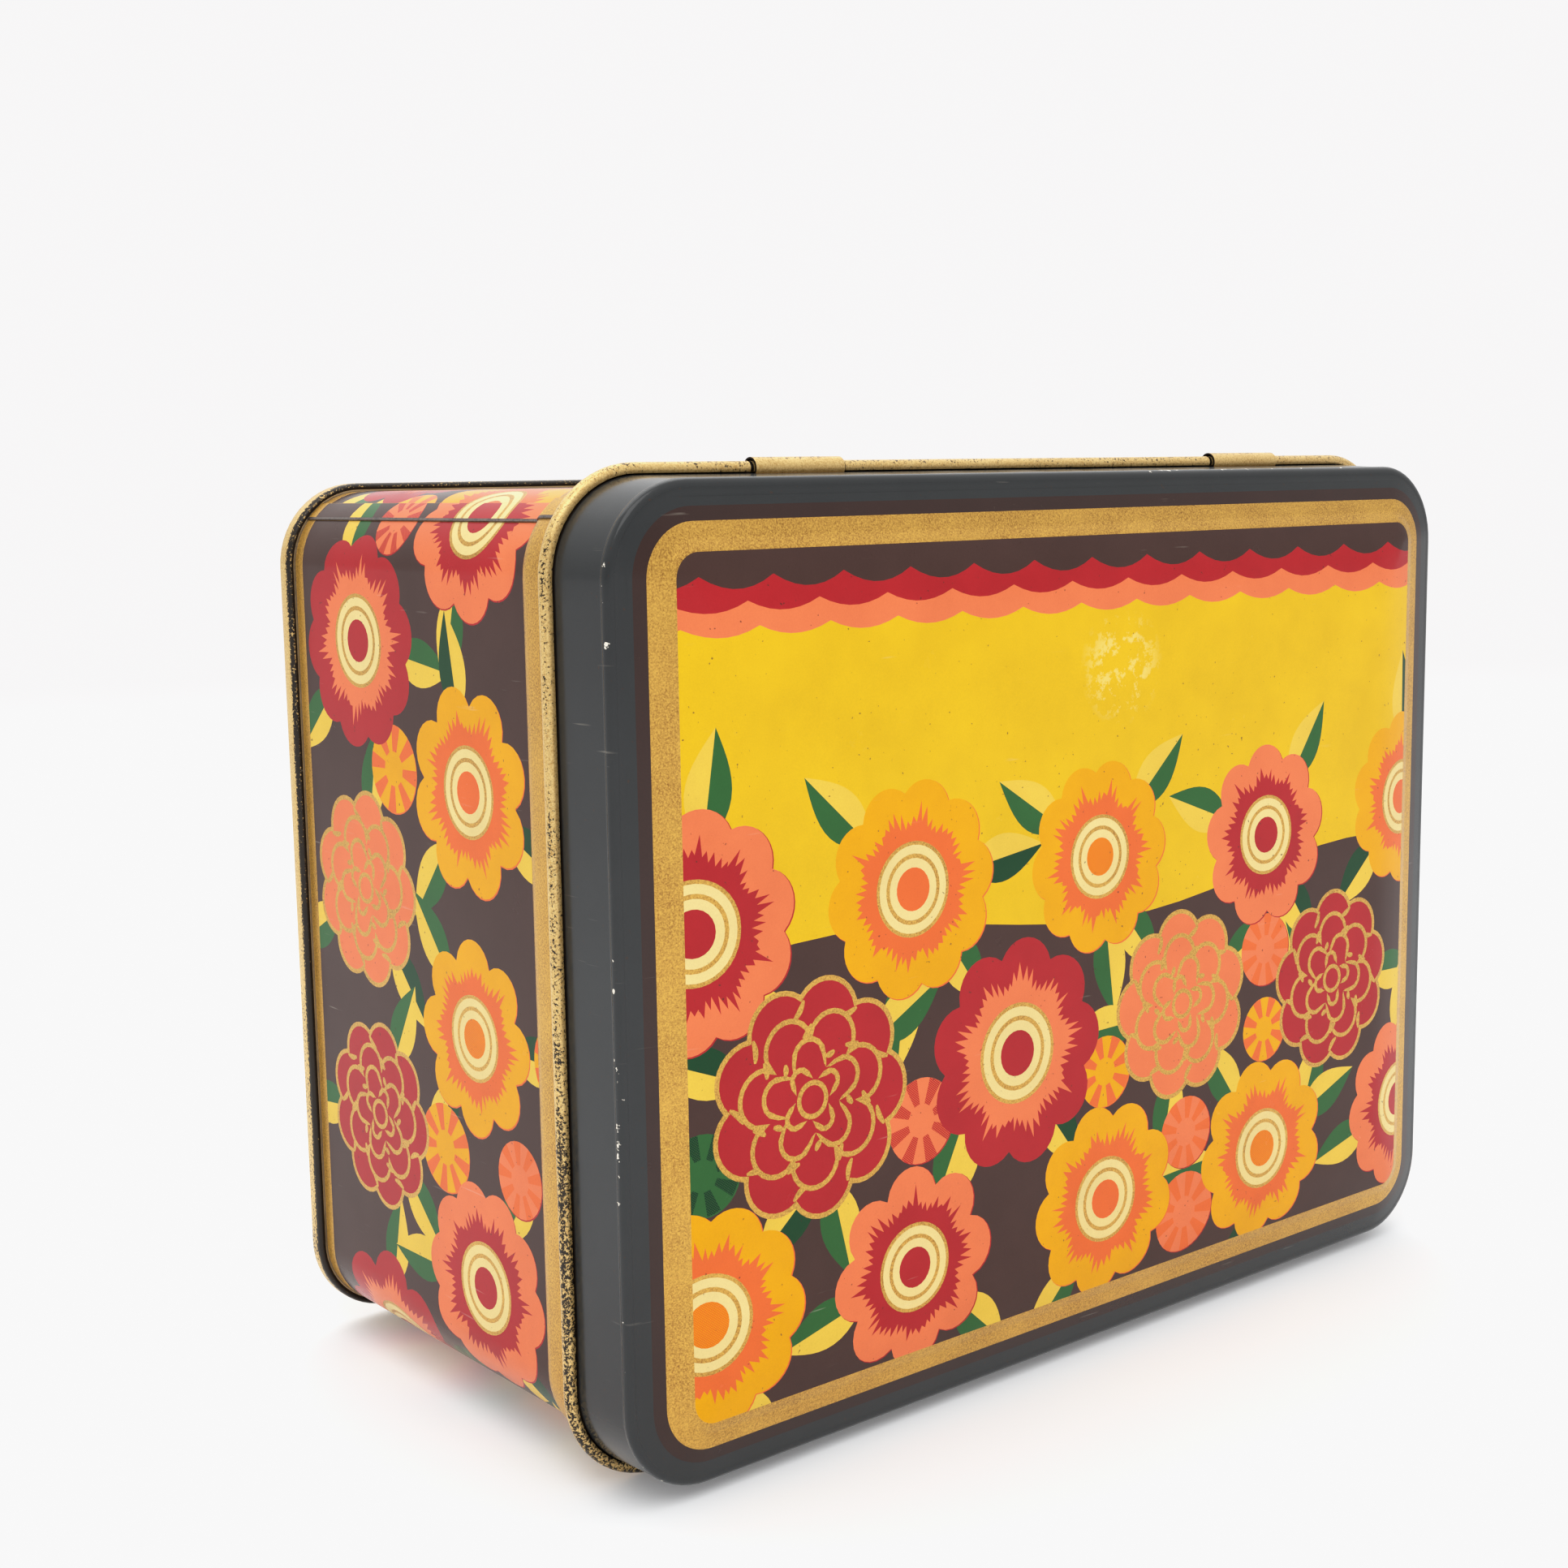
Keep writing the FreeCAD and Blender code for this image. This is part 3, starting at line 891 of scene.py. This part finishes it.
def base_parts(ring):
    """The base: its double seam, the painted shade in the crease beside it and the sunk plate."""
    # Painted shade: the strip from the wall into the seam is near-black, and the seam's gold
    # darkens its front further.
    profile = [((5.5, 124.3), "tin"), ((6.3, 124.2), "painted_shade"), ((6.85, 124.05), "seam_wear_and_shade"),
               ((7.2, 124.15), "seam_wear_and_shade"), ((7.5, 124.45), "seam_wear_and_shade"),
               ((7.7, 124.9), "seam_wear_and_shade"), ((7.72, 126.3), "seam_wear_and_shade"),
               ((7.7, 127.6), "seam_wear_and_shade"), ((7.5, 128.2), "seam_wear_and_shade"),
               ((7.1, 128.5), "seam_wear_and_shade"), ((6.2, 128.5), "seam_wear_and_shade"),
               ((5.4, 128.4), "seam_wear_and_shade"), ((5.2, 128.1), "seam_wear_and_shade"),
               ((5.1, 127.0), "gold"), ((5.0, 125.2), "gold"), ((4.7, 124.75), "gold"),
               ((4.0, 124.6), "gold"), ((0.0, 124.6), "gold"), ((-4.0, 124.6), "gold"),
               ((-6.0, 124.2), "gold"), ((-8.0, 124.0), "gold"), ((-30.0, 124.0), "gold")]
    vertices = []
    uv = []
    faces = []
    inks = []
    count = len(ring.loop(0.0)[0])
    for row, ((out, depth), ink) in enumerate(profile):
        for i, (px, pz) in enumerate(ring.loop(out, max(FACE_R + out, 3.0))[0]):
            vertices.append((px, Y_FACE + depth, Z_MID + pz))
            uv.append((i * 3.0, depth))
        if row:
            for i in range(count):
                j = (i + 1) % count
                first, second = (row - 1) * count, row * count
                faces.append([first + i, first + j, second + j, second + i])
                inks.append(profile[row - 1][1])
    back = len(profile) - 1
    faces.append([back * count + i for i in range(count)])
    inks.append("gold")
    # The plate's inner side closes the piece.
    first = len(vertices)
    for i, (px, pz) in enumerate(ring.loop(5.5)[0]):
        vertices.append((px, Y_FACE + 123.7, Z_MID + pz))
        uv.append((i * 3.0, 123.7))
    for i in range(count):
        j = (i + 1) % count
        faces.append([first + i, first + j, j, i])
        inks.append("tin")
    faces.append([first + i for i in range(count)][::-1])
    inks.append("tin")
    return new_object("base", vertices, faces, inks, None, uv, 40.0)


def knuckle(name, centre):
    """A tab of the wall, curled round the lid's edge; its rows run from root to tip."""
    vertices = []
    faces = []
    inks = []
    outer_r, inner_r = KNUCKLE_R, KNUCKLE_R - TAB_SHEET
    rows = [(-(BEAD_OUT - WALL_OUT) - 0.1, outer_r, -(BEAD_OUT - WALL_OUT) - 0.1, inner_r),
            (-1.6, outer_r, -1.6, inner_r)]
    for step in range(25):
        angle = math.radians(240 * step / 24)
        rows.append((outer_r * math.sin(angle), outer_r * math.cos(angle),
                     inner_r * math.sin(angle), inner_r * math.cos(angle)))
    columns = 12
    for up_out, back_out, up_in, back_in in rows:
        for up, back in ((up_out, back_out), (up_in, back_in)):
            for column in range(columns + 1):
                x = centre + TAB_W * (column / columns - 0.5)
                vertices.append((x, Y_FACE + BEAD_DEPTH + back,
                                 Z_MID + FACE_H / 2 + BEAD_OUT + up))
    width = columns + 1

    def vertex(row, side, column):
        return (2 * row + side) * width + column

    last = len(rows) - 1
    # The inner side and the cut edges of the tab take the near-black ink of painted shade.
    for row in range(last):
        for column in range(columns):
            faces.append([vertex(row, 0, column), vertex(row, 0, column + 1),
                          vertex(row + 1, 0, column + 1), vertex(row + 1, 0, column)])
            faces.append([vertex(row, 1, column), vertex(row + 1, 1, column),
                          vertex(row + 1, 1, column + 1), vertex(row, 1, column + 1)])
            inks += ["worn_gold", "painted_shade"]
        for column in (0, columns):
            quad = [vertex(row, 0, column), vertex(row + 1, 0, column),
                    vertex(row + 1, 1, column), vertex(row, 1, column)]
            faces.append(quad if column == 0 else quad[::-1])
            inks.append("painted_shade")
    for column in range(columns):
        faces.append([vertex(0, 0, column), vertex(0, 1, column), vertex(0, 1, column + 1),
                      vertex(0, 0, column + 1)])
        faces.append([vertex(last, 0, column + 1), vertex(last, 1, column + 1),
                      vertex(last, 1, column), vertex(last, 0, column)])
        inks += ["painted_shade", "worn_gold"]
    return new_object(name, vertices, faces, inks, None, None, 40.0)


def side_seam():
    """The lap of the wall's two ends: proud of the print, with a dark edge of rubbed ink and a
    painted shadow line along it.
    """
    vertices, faces, inks, normals, uv = wall_patch(-LAP_LENGTH, 0.0, LAP_PROUD)
    uv = [tuple(p) for p in uv]

    def strip(stations, profile, inside, ink, flip=False):
        """Quads along the seam between two lists of (station, out, depth, normal)."""
        first = len(vertices)
        for depth, low, high in profile:
            for s, out in ((stations[0], low), (stations[1], high)):
                (px, pz), (nx, nz) = wall_point(s)
                (ax, az), _ = wall_point(s + 0.5)
                vertices.append((px + nx * out, Y_FACE + depth, Z_MID + pz + nz * out))
                side = Vector((ax - px, 0, az - pz)).normalized()
                normals.append(tuple(side) if inside else (nx, 0.0, nz))
                uv.append((s + out, depth))
        for i in range(len(profile) - 1):
            a = first + 2 * i
            quad = [a, a + 1, a + 3, a + 2]
            faces.append(quad[::-1] if flip else quad)
            inks.append(ink)

    edge = [(depth, -0.1 + out - WALL_OUT, LAP_PROUD + out - WALL_OUT)
            for out, depth in BAND] + [(STRIP_BACK, -0.1, LAP_PROUD)]
    strip((0.0, 0.0), edge, True, "seam_edge")
    # Painted shadow: a dark strip 0.6 mm wide on top of the lap, along its edge.
    lip = [(depth, LAP_PROUD + out - WALL_OUT + 0.03, LAP_PROUD + out - WALL_OUT + 0.03)
           for out, depth in BAND] + [(STRIP_BACK, LAP_PROUD + 0.03, LAP_PROUD + 0.03)]
    strip((-0.6, 0.0), lip, False, "seam_edge", True)
    for i in range(8):
        s = -LAP_LENGTH * i / 8
        band = [(depth, LAP_PROUD + out - WALL_OUT, LAP_PROUD + out - WALL_OUT)
                for out, depth in BAND]
        strip((s - LAP_LENGTH / 8, s), band, False, "gold", True)
    return new_object("side_seam", vertices, faces, inks, normals, uv)


base = base_parts(ring)
knuckles = [knuckle(f"hinge_tab_{i}", centre) for i, centre in enumerate(TAB_CENTRES, 1)]
seam = side_seam()

for piece in (face, rim):
    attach(piece, "lid")
    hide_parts("lid_shell")
for piece in (printed, lining, seam, *knuckles):
    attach(piece, "body")
    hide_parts("body_wall")
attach(base, "body")
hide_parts("base_panel")

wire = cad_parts["hinge_wire"]
wire.data.materials.clear()
wire.data.materials.append(bare_steel("steel_wire", colour(84, 78, 72), 0.3, 0.5))


# ------------------------------------------------------- floor, light, camera

STUDIO_WHITE = (1.0, 0.985, 0.99, 1.0)


def floor():
    """A pale floor that fades into the backdrop, so that no horizon shows."""
    f = Finish("floor")
    away = f.node("ShaderNodeVectorMath", {0: f.place}, operation="LENGTH").outputs["Value"]
    pale = f.mix(f.ramp(f.noise(300.0), 0.3, 0.7), (0.84, 0.85, 0.86, 1.0),
                 (0.82, 0.83, 0.84, 1.0))
    pale = f.mix(f.ramp(away, 0.4, 1.8), pale, (0.0, 0.0, 0.0, 1.0))
    f.set(Base_Color=pale, Roughness=0.6, Specular_IOR_Level=0.0,
          Emission_Color=STUDIO_WHITE,
          Emission_Strength=f.ramp(away, 0.4, 1.8, 0.13, 0.985))
    size = 60.0
    mesh = bpy.data.meshes.new("floor")
    mesh.from_pydata([(x * size, y * size, 0.0)
                      for x, y in ((-1, -1), (1, -1), (1, 1), (-1, 1))], [], [(0, 1, 2, 3)])
    mesh.materials.append(f.material)
    made = bpy.data.objects.new("floor", mesh)
    bpy.context.scene.collection.objects.link(made)


def area_light(name, place, target, width, height, power, tint=(1.0, 1.0, 1.0)):
    data = bpy.data.lights.new(name, "AREA")
    data.shape = "RECTANGLE"
    data.size = width
    data.size_y = height
    data.energy = power
    data.color = tint
    made = bpy.data.objects.new(name, data)
    bpy.context.scene.collection.objects.link(made)
    made.location = place
    aim = Vector(target) - Vector(place)
    made.rotation_mode = "QUATERNION"
    made.rotation_quaternion = aim.to_track_quat("-Z", "Y")


def surroundings():
    world = bpy.data.worlds.new("studio")
    world.use_nodes = True
    tree = world.node_tree
    backdrop = tree.nodes["Background"]
    backdrop.inputs["Color"].default_value = STUDIO_WHITE
    backdrop.inputs["Strength"].default_value = 0.985
    room = tree.nodes.new("ShaderNodeBackground")
    coords = tree.nodes.new("ShaderNodeTexCoord")
    split = tree.nodes.new("ShaderNodeSeparateXYZ")
    tree.links.new(coords.outputs["Generated"], split.inputs[0])
    strength = None
    # Brighter overhead, and a little brighter to the right and behind.
    for axis, low, high, dark, light in (("Z", -0.05, 0.6, 0.55, 1.42),
                                         ("X", -0.7, 0.3, -0.12, 0.12),
                                         ("Y", -0.5, 0.4, -0.2, 0.14)):
        part = tree.nodes.new("ShaderNodeMapRange")
        for key, value in (("From Min", low), ("From Max", high), ("To Min", dark),
                           ("To Max", light)):
            part.inputs[key].default_value = value
        tree.links.new(split.outputs[axis], part.inputs["Value"])
        if strength is None:
            strength = part.outputs[0]
        else:
            total = tree.nodes.new("ShaderNodeMath")
            tree.links.new(strength, total.inputs[0])
            tree.links.new(part.outputs[0], total.inputs[1])
            strength = total.outputs[0]
    tree.links.new(strength, room.inputs["Strength"])
    seen = tree.nodes.new("ShaderNodeLightPath")
    either = tree.nodes.new("ShaderNodeMixShader")
    tree.links.new(seen.outputs["Is Camera Ray"], either.inputs[0])
    tree.links.new(room.outputs[0], either.inputs[1])
    tree.links.new(backdrop.outputs[0], either.inputs[2])
    tree.links.new(either.outputs[0], tree.nodes["World Output"].inputs["Surface"])
    bpy.context.scene.world = world
    area_light("key", (-0.5, -0.9, 1.5), (0, 0, 0.1), 1.2, 1.2, 10.5)
    area_light("top", (0.1, 0.5, 1.5), (0, 0, 0.1), 1.6, 1.2, 7.0)


def camera():
    """A lens of about 50 mm, from the left and a little above."""
    azimuth, elevation, roll = (math.radians(v) for v in (-39.017, 8.051, -0.929))
    back = Vector((math.sin(azimuth) * math.cos(elevation),
                   -math.cos(azimuth) * math.cos(elevation), math.sin(elevation)))
    right = Vector((0, 0, 1)).cross(back).normalized()
    up = back.cross(right)
    level_right = right * math.cos(roll) + up * math.sin(roll)
    level_up = up * math.cos(roll) - right * math.sin(roll)
    data = bpy.data.cameras.new("camera")
    data.sensor_width = 36.0
    data.lens = 49.73
    data.clip_start = 0.01
    made = bpy.data.objects.new("camera", data)
    bpy.context.scene.collection.objects.link(made)
    place = Vector((-0.33898, -0.37678, 0.19378))
    made.matrix_world = Matrix.Translation(place) @ Matrix(
        (level_right, level_up, back)).transposed().to_4x4()
    bpy.context.scene.camera = made


def exposure():
    """The whites stop just short of pure white, as on a print."""
    view = bpy.context.scene.view_settings
    view.view_transform = "Standard"
    view.use_curve_mapping = True
    curves = view.curve_mapping
    curves.extend = "HORIZONTAL"
    tone = curves.curves[3].points
    tone[-1].location = (1.0, 0.94)
    knee = tone.new(0.87, 0.87)
    for point in tone:
        point.handle_type = "VECTOR"
    knee.handle_type = "AUTO"
    curves.update()


floor()
surroundings()
camera()
exposure()
